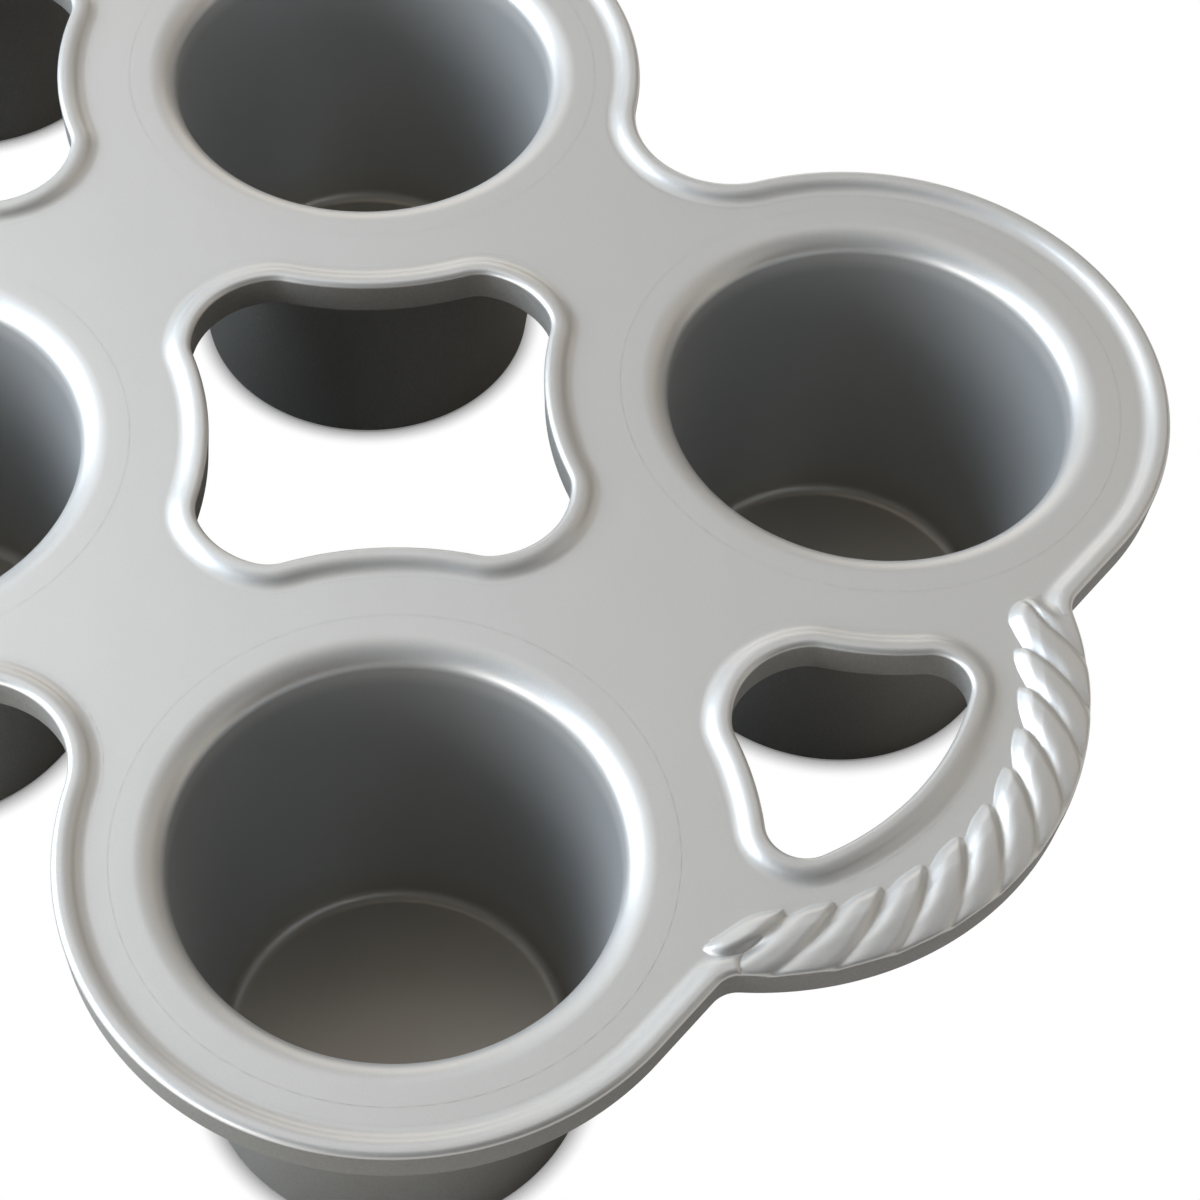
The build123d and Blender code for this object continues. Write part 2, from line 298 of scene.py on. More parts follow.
def castMaterials():
    # Top finish: the coat on faces that look up, blasted metal on the walls and everything below the deck
    face = deck["height"]
    top, tree = newMaterial("satinCoatedAluminium")
    where = addNode(tree, "ShaderNodeTexCoord").outputs["Object"]
    height = addNode(tree, "ShaderNodeSeparateXYZ", Vector=where).outputs["Z"]
    normal = addNode(tree, "ShaderNodeNewGeometry").outputs["Normal"]
    upward = addNode(tree, "ShaderNodeSeparateXYZ", Vector=normal).outputs["Z"]
    above = between(tree, height, (face - coat["skinFrom"]) * mm, (face - coat["skinTo"]) * mm, smooth=False)
    level = between(tree, upward, coat["wallFrom"], coat["wallTo"])
    coated = addNode(tree, "ShaderNodeMath", {"operation": "MULTIPLY"}, i0=above, i1=level)
    mix = addNode(tree, "ShaderNodeMixShader", i0=coated.outputs[0],
                  i1=blastedShader(tree, where).outputs[0], i2=coatShader(tree, where).outputs[0])
    addNode(tree, "ShaderNodeOutputMaterial", Surface=mix.outputs[0])
    # Inside of the cups: the same coat with painted shade, darker below the rounded mouth, and a painted warm
    # bounce light at the floor
    inside, tree = newMaterial("satinCoatCupInsidePaintedShade")
    where = addNode(tree, "ShaderNodeTexCoord").outputs["Object"]
    height = addNode(tree, "ShaderNodeSeparateXYZ", Vector=where).outputs["Z"]
    depth = between(tree, height, (face - coat["shadeFrom"]) * mm, (face - coat["shadeTo"]) * mm)
    low = between(tree, height, coat["warmFrom"] * mm, coat["warmTo"] * mm)
    addNode(tree, "ShaderNodeOutputMaterial", Surface=coatShader(tree, where, depth, low).outputs[0])
    outside, tree = newMaterial("blastedCastAluminium")
    where = addNode(tree, "ShaderNodeTexCoord").outputs["Object"]
    addNode(tree, "ShaderNodeOutputMaterial", Surface=blastedShader(tree, where).outputs[0])
    return top, inside, outside


topFinish, insideCoatPaintedShade, outsideFinish = castMaterials()
print("stage: finishes made")

# Cups, turned from one profile

cup = {
    "mouthRadius": 37.35,   # where the line of the inner wall meets the top
    "mouthRound": 5.2,      # the rounded mouth is an ellipse, this wide and mouthDepth deep
    "mouthDepth": 3.9,
    "taper": 5.0,
    "wall": 3.4,
    "floor": 3.2,
    "floorRound": 2.5,
    "footRound": 1.25,
    "rootRound": 4.0,
    "collarRadius": 45.9,
    "lip": 0.25,        # thin step that reaches in under the deck's own face
    "lipDrop": 0.01,
    "steps": 192,
    "wallSteps": 13,
}


def cupProfile():
    # Radius and height of a cup's outline: outside from the middle of the foot up to the deck, then inside
    # down to the middle of the floor
    lean = math.tan(math.radians(cup["taper"]))
    top, under = deck["height"], deck["height"] - deck["thickness"]
    mouth = cup["mouthRadius"]
    floorCorner = mouth - (top - cup["floor"]) * lean
    foot = mouth - top * lean + cup["wall"] / math.cos(math.radians(cup["taper"]))
    root = foot + under * lean
    outer = cup["collarRadius"] + cup["lip"]
    below = [(0, 0), (foot, 0), (root, under), (outer, under), (outer, top - cup["lipDrop"]),
             (cup["collarRadius"], top - cup["lipDrop"])]
    above = [(cup["collarRadius"], top), (mouth, top), (floorCorner, cup["floor"]), (0, cup["floor"])]
    outside = roundCorners(below, [0, cup["footRound"], cup["rootRound"], 0, 0, 0], 10)
    # The mouth's ellipse is a circle in heights stretched by its width over its depth
    stretch = np.array([1, cup["mouthRound"] / cup["mouthDepth"]])
    edge = roundCorners(np.array(above[:3]) * stretch, [0, cup["mouthRound"], 0], 24)[:-1] / stretch
    inside = np.vstack([edge, roundCorners(above[1:], [0, cup["floorRound"], 0], 12)[1:]])
    # The straight wall is the one long step down, and is divided
    split = int(np.argmin(np.diff(inside[:, 1]))) + 1
    share = np.linspace(0, 1, cup["wallSteps"] + 1)[1:-1, None]
    run = inside[split - 1] + (inside[split] - inside[split - 1]) * share
    inside = np.vstack([inside[:split], run, inside[split:]])
    return outside, inside


def makeCups():
    # Radius r and height z of the profile carried round the cup's axis: (r cos t, r sin t, z)
    outside, inside = cupProfile()
    profile = np.vstack([outside[1:], inside[:-1]])
    turn = np.linspace(0, math.tau, cup["steps"], endpoint=False)
    for number in range(6):
        x = (number % 3 - 1) * deck["pitchX"]
        y = rowY if number > 2 else -rowY
        r, z = profile[:, 0], profile[:, 1]
        ring = np.stack([x + np.outer(np.cos(turn), r), y + np.outer(np.sin(turn), r),
                         np.broadcast_to(z, (len(turn), len(z)))], axis=-1)
        faces = gridFaces(len(turn), len(profile), True, False)
        outer = np.tile(np.arange(len(profile) - 1) < len(outside) - 1, len(turn))
        first = np.arange(len(turn)) * len(profile)
        piece = makeMesh(f"cupSurface_{number + 1}", ring.reshape(-1, 3), faces,
                         caps=[first[::-1], first + len(profile) - 1], sharpAngle=60,
                         faceMaterial=outer.astype(np.int32), materials=[insideCoatPaintedShade, outsideFinish])
        # The first cap closes the foot, so it takes the outside's finish
        capIndex = np.zeros(len(piece.data.polygons), np.int32)
        piece.data.polygons.foreach_get("material_index", capIndex)
        capIndex[len(faces):len(faces) + len(turn)] = 1
        piece.data.polygons.foreach_set("material_index", capIndex)
        place(piece, f"cup_{number + 1}")
    print("stage: cups made")


makeCups()

# Beads with the skirts below them

bead = {
    "width": 5.8,
    "rise": 1.4,
    "edgeRound": 1.1,
    "crest": 0.4,           # level part of the top, and of the foot of the slope
    "runOut": 0.3,
    "skirtDepth": 6.2,
    "skirtWidth": 3.6,
    "skirtDraft": 0.4,
    "footRound": 0.7,
    "rootRound": 1.2,
    "lip": 1.0,
    "lipDrop": 0.01,
}


def beadSection():
    # Distance in from the edge and height over the deck. Past the level crest an arc bends over and
    # an arc of the same radius bends back, so the bead runs out level with the deck
    top, width = bead["rise"], bead["width"]
    begin = bead["edgeRound"] + bead["crest"]
    fall = width - bead["runOut"] - begin
    turn = 2 * math.atan2(top, fall)
    radius = fall / (2 * math.sin(turn))
    angle = np.linspace(0, turn, 14)
    crest = np.stack([begin + radius * np.sin(angle), top - radius * (1 - np.cos(angle))], axis=1)
    cove = (crest[-1] * 2 - crest)[::-1]
    crest = np.vstack([[bead["edgeRound"], top], crest])
    cove = np.vstack([cove, [width, 0]])
    edge = arcPoints((bead["edgeRound"], top - bead["edgeRound"]), bead["edgeRound"], 180, 90, 10)
    low = roundCorners(
        [(width + bead["lip"], -deck["thickness"]), (bead["skirtWidth"], -deck["thickness"]),
         (bead["skirtWidth"], -bead["skirtDepth"]), (bead["skirtDraft"], -bead["skirtDepth"]),
         (0, top - bead["edgeRound"])],
        [0, bead["rootRound"], bead["footRound"], bead["footRound"], 0], 6)
    lip = [(width, -bead["lipDrop"]), (width + bead["lip"], -bead["lipDrop"])]
    return np.vstack([low, edge[1:], crest[1:], cove[1:], lip])


def beadTop():
    # Distance in from the edge and height over the deck, for the part of the section that looks up: it
    # starts where the section, leaving out what lies below the deck's face, is furthest out
    section = beadSection()[:-2]
    return section[np.argmin(section[:, 0] + far * (section[:, 1] < 0)):]


def touchingCircle(ring, bow, radius, side=1):
    # The centre of a circle that touches a ring (x, y, radius) from outside and a bow (x, y, radius) from
    # inside: ring + radius from the one, bow - radius from the other, and left (1) or right (-1) of the line
    # that joins them
    gap = np.array(bow[:2]) - np.array(ring[:2])
    span = np.linalg.norm(gap)
    apart = ring[2] + radius
    along = (apart ** 2 - (bow[2] - radius) ** 2 + span ** 2) / (2 * span)
    across = side * math.sqrt(apart ** 2 - along ** 2)
    unit = gap / span
    return np.array(ring[:2]) + unit * along + np.array([-unit[1], unit[0]]) * across


def windowCircles():
    # Once round a window: bows across its ends and tips, round corners and the four cup rings
    flank, bow, corner = deck["flankRadius"], deck["windowBow"], deck["windowCorner"]
    ring = (halfPitch, rowY, flank)
    endBow = (deck["windowHalfLength"] - bow, 0, bow)
    tipBow = (0, deck["windowHalfWidth"] - bow, bow)
    endX, endY = touchingCircle(ring, endBow, corner)
    tipX, tipY = touchingCircle(ring, tipBow, corner, -1)
    quarter = [(endX, endY, corner), (halfPitch, rowY, -flank), (tipX, tipY, corner)]
    left = [(-x, y, r) for x, y, r in reversed(quarter)]
    upper = [*quarter, tipBow, *left]
    return [*upper, (-endBow[0], 0, bow), *((-x, -y, r) for x, y, r in upper), endBow]


def holeCircles():
    # Once round a finger hole: the bowed far side, two tips, the two cup rings and a window's near end
    flank, bow, tip = deck["flankRadius"], deck["holeBow"], deck["holeTip"]
    farBow = (deck["holeFarX"] - bow, 0, bow)
    tipX, tipY = touchingCircle((deck["pitchX"], rowY, flank), farBow, tip)
    (endX, endY, corner), *_, (bowX, _, nearBow) = windowCircles()
    turned = deck["pitchX"] + halfPitch
    upper = [(tipX, tipY, tip), (deck["pitchX"], rowY, -flank), (turned - endX, endY, corner)]
    lower = [(x, -y, r) for x, y, r in reversed(upper)]
    return [farBow, *upper, (turned - bowX, 0, nearBow), *lower]


def outerCircles():
    # Handle, shoulders, cup outlines and notches, once round the pan
    outline, notch = deck["outlineRadius"], deck["notchRadius"]
    endX = deck["pitchX"] + outline
    shoulderX = endX + deck["shoulderRadius"]
    reach = deck["handleRadius"] + deck["shoulderRadius"]
    shoulderY = math.sqrt(reach ** 2 - (shoulderX - deck["handleX"]) ** 2)
    notchY = rowY + math.sqrt((outline + notch) ** 2 - halfPitch ** 2)
    half = [
        (deck["handleX"], 0, deck["handleRadius"]),
        (shoulderX, shoulderY, -deck["shoulderRadius"]),
        (deck["pitchX"], rowY, outline),
        (halfPitch, notchY, -notch),
        (0, rowY, outline),
        (-halfPitch, notchY, -notch),
        (-deck["pitchX"], rowY, outline),
        (-shoulderX, shoulderY, -deck["shoulderRadius"]),
    ]
    return half + [(-x, -y, r) for x, y, r in half]


def sweepBead(name, circles, inwards, nodes, offset=(0, 0), turned=False, lower=None):
    # The section (d, h) carried along the outline: point = path + inward normal * d, at deck height + h
    spots, normals = tangentLoop(circles)
    if turned:
        spots, normals = -spots, -normals
    spots = spots + np.array(offset)
    section = beadSection()
    d, h = section[:, 0], section[:, 1]
    plan = spots[:, None, :] + inwards * normals[:, None, :] * d[None, :, None]
    height = np.broadcast_to(h, plan.shape[:2]).copy()
    if lower is not None:
        height = lower(spots, height)
    points = np.concatenate([plan, (deck["height"] + height)[..., None]], axis=2)
    faces = gridFaces(len(spots), len(section), True, True)
    return place(makeMesh(name, points.reshape(-1, 3), faces, sharpAngle=50, materials=[topFinish]), *nodes)


# Rope grips: strands twisted round the handle's arc, standing on the deck and cut off at its outer edge.
# Curves over the grip's width are stops of (share of the width from the inner edge, height)
rope = {
    "innerRadius": 46.8,
    "innerStep": 0.28,      # the strands start this far out from the inner radius
    "firstStrand": 63.6,    # angle of the first strand at the inner radius
    "pitch": 10.025,        # from strand to strand
    "strands": 12,
    "sweep": 16.3,          # how far a strand runs round while it crosses the grip
    "sweepBend": 0.21,
    "lean": -0.138,         # how far a strand's ridge lies from its middle, in strands
    "ridge": ((0.0, 2.16), (0.35, 2.16), (0.55, 1.99), (0.75, 1.65), (0.9, 1.33), (1.0, 0.97)),
    "groove": ((0.0, 0.65), (0.25, 1.87), (0.5, 1.44), (0.75, 0.65), (1.0, 0.8)),
    "groovePower": 3.05,
    "grooveRound": 0.14,
    "rise": ((0.0, 0.0), (0.5, 0.3), (1.3, 0.65), (2.4, 0.89), (4.2, 1.0)),     # share of the height by mm in
    "scallop": 1.67,        # how far the grooves cut into the inner edge
    "scallopPower": 3,
    "edgeRound": 0.6,       # at the outer edge
    "headCurl": 0.35,       # how much the first strand curls in at its start, in strands
    "curlStrands": (0.1, 1.0),      # full and gone at these strand numbers
    "curlFrom": 0.43,       # share of the width where the curl begins, and over how much it grows
    "curlOver": 0.25,
    "begunFrom": 0.34,      # share of the width where the first groove begins and is complete
    "begunTo": 0.52,
    "capX": 178.3,          # round cap at the end where the strands start
    "capY": 42.0,
    "capRadius": 5.7,
    "capRun": 3.0,          # it counts from this far before its centre
    "headInset": 0.95,      # the first whole strand starts this far in from the others
    "headFrom": 43.0,       # between these angles
    "headTo": 51.0,
    "tailX": 193.2,         # inner flank of the last strand, a shallow arc
    "tailY": -47.1,
    "tailRadius": 20.1,
    "tailSoft": 0.6,        # how fast it rises beside the other edges, from softFrom to softTo along the grip
    "softFrom": 35.0,
    "softTo": 43.0,
    "tailTurn": 141.1,      # direction in which the arc ends
    "tailFrom": 30.0,
    "tipRadius": 54.6,      # where the last strand's tip starts to fall
    "tipLength": 2.4,
    "partDepth": 1.0,       # the gap before the last strand
    "partWidth": 0.22,
    "partFrom": 0.45,       # share of the width where it begins and is full
    "partTo": 0.68,
    "lastFrom": 0.65,       # the last strand begins between these parts of a strand before its middle
    "lastTo": 0.35,
    "endY": 46.7,
    "endAngle": 57.5,
    "footRise": 1.5,
    "footBeyond": 0.9,
    "startRun": 4.0,        # over this length the rope comes out of the bead
    "beadFrom": 8.8,        # it does so between these distances from the outer edge, and fully from there out
    "beadTo": 5.4,
    "margin": 1.2,
    "sink": 0.008,          # the pad round the strands lies this far under the deck's face
    "sinkStep": 0.002,
    "wallTop": 0.9,         # below the deck's face the outer wall steps in by wallInset, behind the skirt
    "wallInset": 0.3,
    "alongStep": 0.22,
    "acrossCount": 64,
}


def smoothStep(value, low, high):
    t = np.clip((value - low) / (high - low), 0, 1)
    return t * t * (3 - 2 * t)


def smoothCurve(value, stops):
    # A cubic through the stops that doesn't overshoot: the slope at a stop is the harmonic mean of the
    # slopes on its two sides, or level where they differ in sign
    x, y = np.array(stops, float).T
    run = np.diff(x)
    slope = np.diff(y) / run
    before, after = slope[:-1], slope[1:]
    same = before * after > 0
    middle = np.where(same, 2 * before * after / np.where(same, before + after, 1), 0)
    slopes = np.concatenate([slope[:1], middle, slope[-1:]])
    i = np.clip(np.searchsorted(x, value) - 1, 0, len(run) - 1)
    t = np.clip((value - x[i]) / run[i], 0, 1)
    bend = (1 - t) * slopes[i] - t * slopes[i + 1]
    return y[i] + (y[i + 1] - y[i]) * t * t * (3 - 2 * t) + run[i] * t * (1 - t) * bend


def ropeHeight(radius, angle):
    # Height over the deck. s is the share of the grip's width and q the strand number, which a point keeps
    # along a strand: q = (first angle - angle - sweep ((1 - bend) s + bend s^2)) / pitch.
    # Height = ridge(s) times the rise from the nearest end, less groove(s) times closeness to the groove
    width = deck["handleRadius"] - rope["innerRadius"]
    s = (radius - rope["innerRadius"]) / width
    bent = (1 - rope["sweepBend"]) * s + rope["sweepBend"] * s * s
    q = (rope["firstStrand"] - angle - rope["sweep"] * bent) / rope["pitch"]
    curl = np.clip(1 - (s - rope["curlFrom"]) / rope["curlOver"], 0, 1) ** 2
    full, gone = rope["curlStrands"]
    q = q + rope["headCurl"] * curl * np.clip((gone - q) / (gone - full), 0, 1)
    last = rope["strands"] - 1
    part = (q + 0.5) % 1
    crest = 0.5 + rope["lean"]
    side = np.where(part < crest, (crest - part) / crest, (part - crest) / (1 - crest))
    side = np.where((q < -0.5) | (q > last + 0.5), 1.0, side)
    soft = np.clip(1 - np.sqrt((1 - side) ** 2 + rope["grooveRound"] ** 2), 0, 1)
    begun = np.where(q < 1, smoothStep(s, rope["begunFrom"], rope["begunTo"]), 1.0)
    x = deck["handleX"] + radius * np.cos(np.radians(angle))
    y = radius * np.sin(np.radians(angle))
    # Distances in from the inner edge, the last strand's flank and the cap; far where one has no say
    edge = rope["innerStep"] + rope["scallop"] * begun * soft ** rope["scallopPower"]
    edge = edge + rope["headInset"] * smoothStep(angle, rope["headFrom"], rope["headTo"])
    inner = radius - rope["innerRadius"] - edge
    # The flank is an arc that runs on as its own tangent
    turn = math.radians(rope["tailTurn"])
    out = (x - rope["tailX"]) * math.cos(turn) + (y - rope["tailY"]) * math.sin(turn)
    beyond = (x - rope["tailX"]) * math.sin(turn) - (y - rope["tailY"]) * math.cos(turn) > 0
    tail = rope["tailRadius"] - np.where(beyond, out, np.hypot(x - rope["tailX"], y - rope["tailY"]))
    tail = tail * (1 - (1 - rope["tailSoft"]) * smoothStep(-y, rope["softFrom"], rope["softTo"]))
    tail = np.where(y < -rope["tailFrom"], tail, far)
    # The cap is a half circle, carried on a little way along the grip by its own radius
    capX, capY = rope["capX"] - deck["handleX"], rope["capY"]
    middle, facing = math.hypot(capX, capY), math.atan2(capY, capX)
    ahead = -(x - rope["capX"]) * math.sin(facing) + (y - rope["capY"]) * math.cos(facing)
    away = np.where(ahead > 0, np.hypot(x - rope["capX"], y - rope["capY"]), middle - radius)
    cap = rope["capRadius"] - away + far * (1 - smoothStep(ahead, -rope["capRun"], 0))
    share = smoothCurve(np.minimum(np.minimum(inner, tail), cap), rope["rise"])
    # The strands before the last end bluntly in the bead, the last one in a round tip
    inLast = smoothStep(q, last - rope["lastFrom"], last - rope["lastTo"])
    aboveEnd = y + rope["endY"] + rope["footBeyond"]
    foot = np.clip(1 - aboveEnd / (rope["footRise"] * (1 + inLast)), 0, 1)
    tip = np.clip((radius - rope["tipRadius"]) / rope["tipLength"], 0, 1) * inLast
    share = share * np.sqrt(np.clip(1 - foot ** 2 - tip ** 2, 0, 1))
    across = (radius - rope["innerRadius"] - edge) / (width - edge)
    groove = smoothCurve(across, rope["groove"]) * soft ** rope["groovePower"] * begun
    parted = rope["partDepth"] * np.exp(-((q - last + 0.5) / rope["partWidth"]) ** 2)
    parted = parted * smoothStep(s, rope["partFrom"], rope["partTo"]) * share
    height = np.maximum(smoothCurve(across, rope["ridge"]) * share - groove - parted, 0)
    run = np.clip(radius - deck["handleRadius"] + rope["edgeRound"], 0, rope["edgeRound"])
    height = height - rope["edgeRound"] + np.sqrt(rope["edgeRound"] ** 2 - run ** 2)
    # At its start the rope comes out of the outer bead, whose height goes by the distance from the outer
    # edge, and past the handle's arc that edge is the shoulder
    shoulderX, shoulderY, _ = outerCircles()[1]
    shoulderAngle = math.degrees(math.atan2(shoulderY, shoulderX - deck["handleX"]))
    toShoulder = np.hypot(x - shoulderX, y - shoulderY) - deck["shoulderRadius"]
    fromEdge = np.where(angle > shoulderAngle, toShoulder, deck["handleRadius"] - radius)
    beadHeight = np.interp(fromEdge, *beadTop().T)
    onBead = smoothStep(radius - deck["handleRadius"], -rope["beadFrom"], -rope["beadTo"])
    blend = onBead * (1 - smoothStep(rope["endY"] - y, 0, rope["startRun"]))
    return (1 - blend) * height + blend * beadHeight


def makeRope(name, node, side):
    # A polar grid over the grip: angle along it, radius across it, height from ropeHeight. Its margin lies
    # just under the deck's face, and a wall and a flat underside close it
    inner, outer, margin = rope["innerRadius"], deck["handleRadius"], rope["margin"]
    turned = np.sin(np.linspace(0, math.pi / 2, 7))
    edge = outer - rope["edgeRound"]
    across = np.concatenate([[inner - margin, inner - rope["sinkStep"]],
                             np.linspace(inner, edge, rope["acrossCount"])[:-1],
                             edge + rope["edgeRound"] * turned])
    reach = np.minimum(rope["endAngle"], np.degrees(np.arcsin(np.clip(rope["endY"] / across, -1, 1))))
    count = int(2 * np.radians(rope["endAngle"]) * outer / rope["alongStep"])
    beyond = np.concatenate([[rope["sinkStep"]], np.linspace(0, margin, 7)[1:]])
    beyond = np.degrees(beyond / outer)[:, None]
    angle = np.vstack([-reach - beyond[::-1], np.linspace(-1, 1, count)[:, None] * reach, reach + beyond])
    radius = np.broadcast_to(across, angle.shape)
    height = ropeHeight(radius, angle)
    outside = (np.abs(angle) > reach + 1e-9) | (radius < inner)
    # Past the cut the surface runs out over the margin, and lies just under the deck's face or in the bead
    past = np.radians(np.maximum(np.abs(angle) - reach, 0)) * outer
    faded = np.where(radius < inner, 0, height * (1 - smoothStep(past, 0, margin)))
    height = np.where(outside, np.where(faded > rope["sink"], faded, -rope["sink"]), height)
    # The wall goes down and steps in behind the skirt, and a flat underside leads back to the inner edge.
    # Each row holds the column whose angles it takes, its radius and its height
    low = [(-1, outer, -rope["wallTop"]), (-1, outer - rope["wallInset"], -deck["thickness"]),
           (0, inner - margin, -deck["thickness"])]
    angle = np.hstack([angle, *(angle[:, [column]] for column, _, _ in low)])
    radius = np.hstack([radius, *(np.full((len(angle), 1), at) for _, at, _ in low)])
    height = np.hstack([height, *(np.full((len(angle), 1), level) for _, _, level in low)])
    turn = np.radians(angle)
    grid = np.stack([deck["handleX"] + radius * np.cos(turn), radius * np.sin(turn), deck["height"] + height],
                    axis=-1)
    grid[..., :2] *= side
    rows, columns = grid.shape[:2]
    faces = gridFaces(rows, columns, False, True)
    caps = [np.arange(columns), np.arange(columns)[::-1] + (rows - 1) * columns]
    piece = makeMesh(name, grid.reshape(-1, 3), faces, caps=caps, sharpAngle=65, materials=[topFinish])
    return place(piece, node)


# Under the rope the bead is pressed down so that only the skirt shows below the strands
pressed = {
    "depth": 0.6,
    "headRun": 3.0,         # it sinks over this length at the end where the strands start
    "footRun": 1.0,
    "footBeyond": 0.5,
    "cupInset": 6.0,        # and only this far in from the ends of the pan's cup outlines
    "cupRun": 3.0,
}


def underRope(spots, height):
    head = spots[:, 1] * np.sign(spots[:, 0]) > 0
    fromEnd = rope["endY"] - np.abs(spots[:, 1]) + np.where(head, 0, pressed["footBeyond"])
    run = np.where(head, pressed["headRun"], pressed["footRun"])
    fromCups = np.abs(spots[:, 0]) - (deck["pitchX"] + deck["outlineRadius"]) + pressed["cupInset"]
    share = smoothStep(np.minimum(fromEnd / run, fromCups / pressed["cupRun"]), 0, 1)
    cap = bead["rise"] - (pressed["depth"] + bead["rise"]) * share
    return np.minimum(height, cap[:, None])


def makeBeads():
    sweepBead("outerBead", outerCircles(), -1, ["outer_rim"], lower=underRope)
    for number, side in ((1, -1), (2, 1)):
        sweepBead(f"windowBead_{number}", windowCircles(), 1, [f"window_rim_{number}"],
                  offset=(side * halfPitch, 0))
        sweepBead(f"fingerHoleBead_{number}", holeCircles(), 1, [f"handle_hole_rim_{number}"],
                  turned=side < 0)
        makeRope(f"ropeSurface_{number}", f"rope_grip_{number}", side)
    print("stage: beads and ropes made")


makeBeads()

# The deck's own faces stay
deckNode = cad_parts["deck"]
deckNode.data.materials.clear()
deckNode.data.materials.append(topFinish)

# Camera, light and floor

camera = {
    "focal": 2816.963,      # in pixels of the picture
    "picture": 1200,
    "sensor": 36.0,
    "azimuth": -54.739,
    "elevation": 53.655,
    "roll": 5.226,
    "distance": 483.56,
    "target": (118.25, -5.07, 71.68),
}


def viewAxes():
    # Right, up and back of the camera: back points from the target to the camera
    a, e, r = (math.radians(camera[k]) for k in ("azimuth", "elevation", "roll"))
    back = np.array([math.cos(a) * math.cos(e), math.sin(a) * math.cos(e), math.sin(e)])
    right = np.cross((0, 0, 1), back)
    right /= np.linalg.norm(right)
    up = np.cross(back, right)
    return (math.cos(r) * right + math.sin(r) * up, -math.sin(r) * right + math.cos(r) * up, back)


def makeCamera():
    right, up, back = viewAxes()
    spot = np.array(camera["target"]) + camera["distance"] * back
    data = bpy.data.cameras.new("camera")
    data.sensor_width = camera["sensor"]
    data.lens = camera["focal"] * camera["sensor"] / camera["picture"]
    data.clip_start, data.clip_end = 0.01, 50.0
    eye = bpy.data.objects.new("camera", data)
    bpy.context.scene.collection.objects.link(eye)
    matrix = np.eye(4)
    matrix[:3, 0], matrix[:3, 1], matrix[:3, 2], matrix[:3, 3] = right, up, back, spot * mm
    eye.matrix_world = Matrix(matrix.tolist())
    bpy.context.scene.camera = eye


# Room and floor
studio = {
    "aim": (100.0, 0.0, 70.0),      # the point that the lamps face
    "roomColour": "#fffaf4",
    "roomLevel": 0.06,
    "backdropHeight": 0.25,     # shiny metal sees the white backdrop from the horizon up to here, as a share
    "floorColour": "#c8c8c6",
    "floorHalf": 4000.0,
    "contactReach": 5.0,        # the painted shadow close round the feet, by how much of the sky is hidden there
    "contactFrom": 0.38,
    "contactTo": 0.86,
    "contactLevel": 0.22,
    "wideReach": 160.0,         # the wider painted shadow under the pan, seen in reflections
    "wideFrom": 0.5,
}


def areaLamp(name, towards, distance, size, strength, colour):
    # A soft box that faces the pan from a direction given in the pan's axes
    towards = np.asarray(towards, float)
    towards = towards / np.linalg.norm(towards)
    data = bpy.data.lights.new(name, "AREA")
    data.shape = "RECTANGLE"
    data.size, data.size_y = size
    data.energy = strength * size[0] * size[1] * math.pi      # so that strength is the box's brightness
    data.color = hexColour(colour)[:3]
    lamp = bpy.data.objects.new(name, data)
    bpy.context.scene.collection.objects.link(lamp)
    side = np.cross((0, 0, 1), towards)
    side /= np.linalg.norm(side)
    matrix = np.eye(4)
    matrix[:3, 0], matrix[:3, 1], matrix[:3, 2] = side, np.cross(towards, side), towards
    matrix[:3, 3] = np.array(studio["aim"]) * mm + distance * towards
    lamp.matrix_world = Matrix(matrix.tolist())


# Soft boxes: direction to the left, away from the camera and up, distance and sizes in metres, brightness
lamps = {
    "keyBox": ((1.0, 0.1, 0.47), 1.1, (0.7, 0.6), 14.6, "cool"),
    "highBox": ((1.0, 0.1, 1.0), 1.1, (0.7, 0.6), 0.9, "cool"),
    "frontBox": ((0.75, -0.75, 0.22), 1.2, (0.7, 0.45), 5.8, "plain"),
    "frontHighBox": ((0.75, -0.75, 0.75), 1.2, (0.7, 0.6), 0.5, "plain"),
    "sideBox": ((0.75, 0.75, 1.06), 1.2, (0.7, 0.7), 1.25, "plain"),
    "backHighBox": ((0.1, 1.0, 1.7), 1.2, (0.8, 0.6), 0.65, "plain"),
    "backLowBox": ((0.1, 1.0, 0.33), 1.2, (0.8, 0.5), 1.4, "warm"),
    "overheadBox": ((0.15, 0.1, 1.0), 1.2, (0.7, 0.7), 0.55, "warm"),
    "rightLowBox": ((-1.0, 0.0, 0.27), 1.2, (0.7, 0.5), 0.85, "warm"),
    "rightBox": ((-1.0, 0.0, 0.84), 1.2, (0.7, 0.6), 0.76, "plain"),
    "rightBackBox": ((-0.75, 0.75, 0.9), 1.2, (0.7, 0.7), 0.82, "warm"),
}
lampColours = {"cool": "#e2f0ff", "plain": "#ffffff", "warm": "#fff4e6"}


def makeLight():
    # Left, away and up of the camera, in the pan's axes
    axes = np.array([(-0.816, -0.577, 0), (-0.577, 0.816, 0), (0, 0, 1)])
    for name, (towards, distance, size, strength, tint) in lamps.items():
        areaLamp(name, np.array(towards) @ axes, distance, size, strength, lampColours[tint])


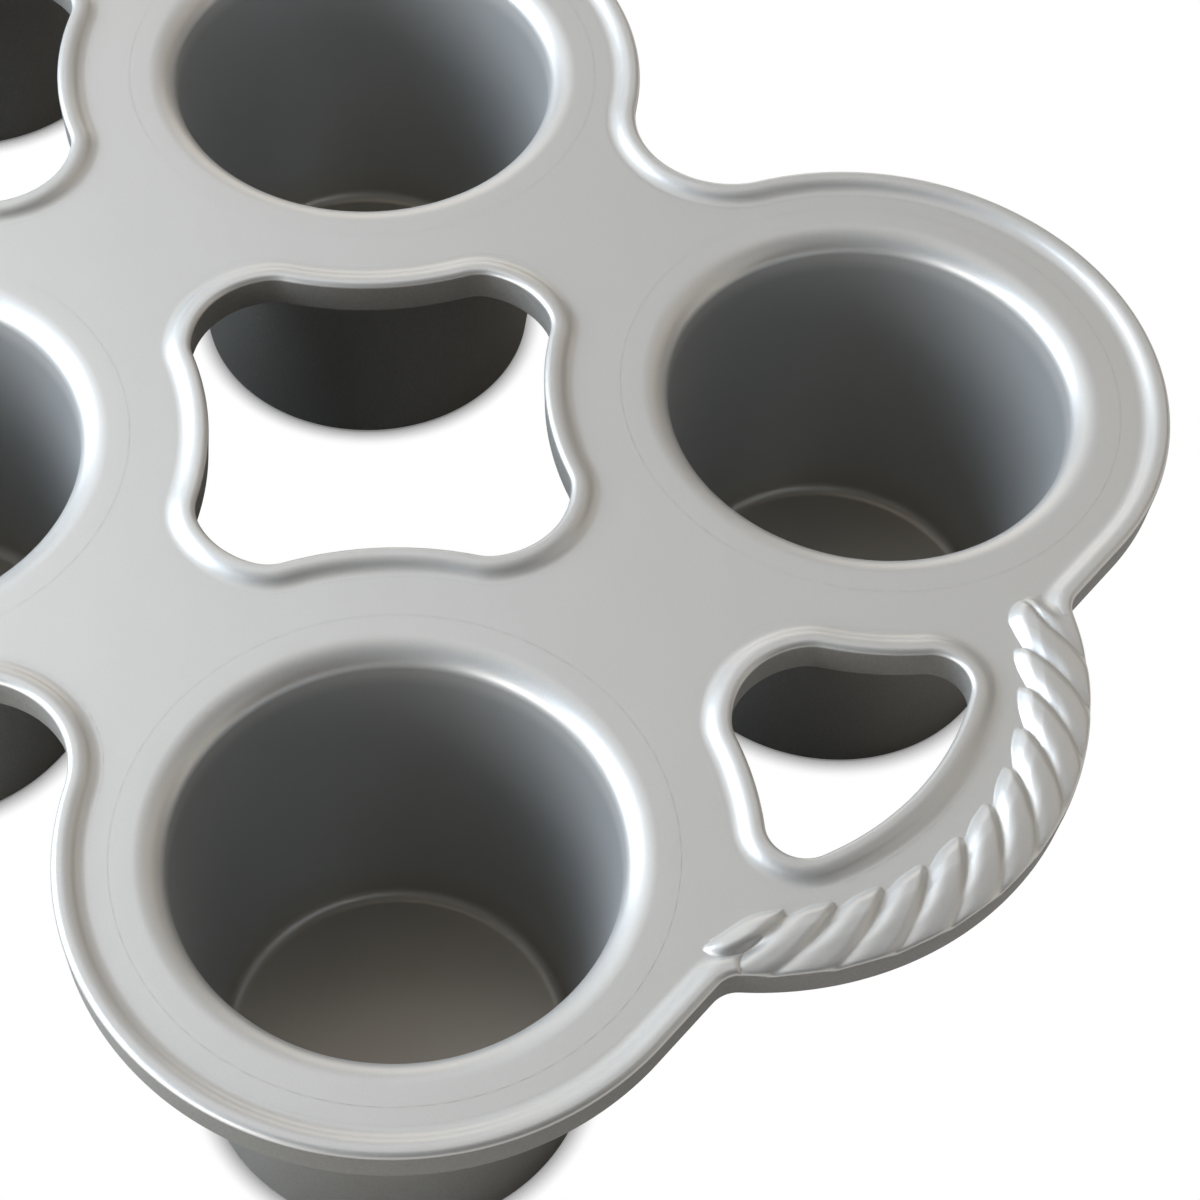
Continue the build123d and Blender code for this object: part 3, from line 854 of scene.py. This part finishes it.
def makeWorld():
    world = bpy.data.worlds.new("studio")
    bpy.context.scene.world = world
    world.use_nodes = True
    tree = world.node_tree
    tree.nodes.clear()
    path = addNode(tree, "ShaderNodeLightPath")
    seen = addNode(tree, "ShaderNodeMath", {"operation": "MAXIMUM"}, i0=path.outputs["Is Camera Ray"],
                   i1=path.outputs["Is Transmission Ray"])
    view = addNode(tree, "ShaderNodeTexCoord").outputs["Generated"]
    split = addNode(tree, "ShaderNodeSeparateXYZ", Vector=view)
    # Shiny metal sees the white backdrop near the horizon, and a dim room above it
    height = addNode(tree, "ShaderNodeMapRange", {"interpolation_type": "SMOOTHSTEP"},
                     Value=split.outputs["Z"], i1=0.0, i2=studio["backdropHeight"], i3=1.0,
                     i4=studio["roomLevel"])
    room = addNode(tree, "ShaderNodeMix", {"data_type": "FLOAT"}, i0=path.outputs["Is Glossy Ray"],
                   i2=studio["roomLevel"], i3=height.outputs[0])
    dim = addNode(tree, "ShaderNodeBackground", Color=hexColour(studio["roomColour"]),
                  Strength=room.outputs[0])
    white = addNode(tree, "ShaderNodeBackground", Color=(1, 1, 1, 1), Strength=1.0)
    both = addNode(tree, "ShaderNodeMixShader", i0=seen.outputs[0], i1=dim.outputs[0], i2=white.outputs[0])
    addNode(tree, "ShaderNodeOutputWorld", Surface=both.outputs[0])


def makeFloor():
    # Pale floor: white to the eye away from the pan, with a painted soft shadow at the cups' feet and a wider
    # painted shadow under the pan in reflections
    half = studio["floorHalf"]
    grid = np.array([(-half, -half, 0), (half, -half, 0), (half, half, 0), (-half, half, 0)])
    mesh = bpy.data.meshes.new("floor")
    mesh.from_pydata(grid * mm, [], [(0, 1, 2, 3)])
    floor = bpy.data.objects.new("floor", mesh)
    bpy.context.scene.collection.objects.link(floor)
    material, tree = newMaterial("whiteFloorPaintedShadow")
    path = addNode(tree, "ShaderNodeLightPath")
    contact = addNode(tree, "ShaderNodeAmbientOcclusion", {"samples": 8},
                      Distance=studio["contactReach"] * mm)
    wide = addNode(tree, "ShaderNodeAmbientOcclusion", {"samples": 8}, Distance=studio["wideReach"] * mm)
    near = addNode(tree, "ShaderNodeMapRange", Value=contact.outputs["AO"], i1=studio["contactFrom"],
                   i2=studio["contactTo"], i3=studio["contactLevel"], i4=1.0)
    shade = addNode(tree, "ShaderNodeMapRange", Value=wide.outputs["AO"], i1=studio["wideFrom"])
    eye = addNode(tree, "ShaderNodeEmission", Color=(1, 1, 1, 1), Strength=near.outputs[0])
    mirror = addNode(tree, "ShaderNodeEmission", Color=(1, 1, 1, 1), Strength=shade.outputs[0])
    plain = addNode(tree, "ShaderNodeBsdfDiffuse", Color=hexColour(studio["floorColour"]))
    glossy = addNode(tree, "ShaderNodeMath", {"operation": "MAXIMUM"}, i0=path.outputs["Is Glossy Ray"],
                     i1=path.outputs["Is Transmission Ray"])
    first = addNode(tree, "ShaderNodeMixShader", i0=glossy.outputs[0], i1=plain.outputs[0],
                    i2=mirror.outputs[0])
    second = addNode(tree, "ShaderNodeMixShader", i0=path.outputs["Is Camera Ray"], i1=first.outputs[0],
                     i2=eye.outputs[0])
    addNode(tree, "ShaderNodeOutputMaterial", Surface=second.outputs[0])
    mesh.materials.append(material)


makeCamera()
makeLight()
makeWorld()
makeFloor()
bpy.context.scene.view_settings.view_transform = "Standard"
print("stage: camera, light and floor made")

bpy.context.view_layer.update()
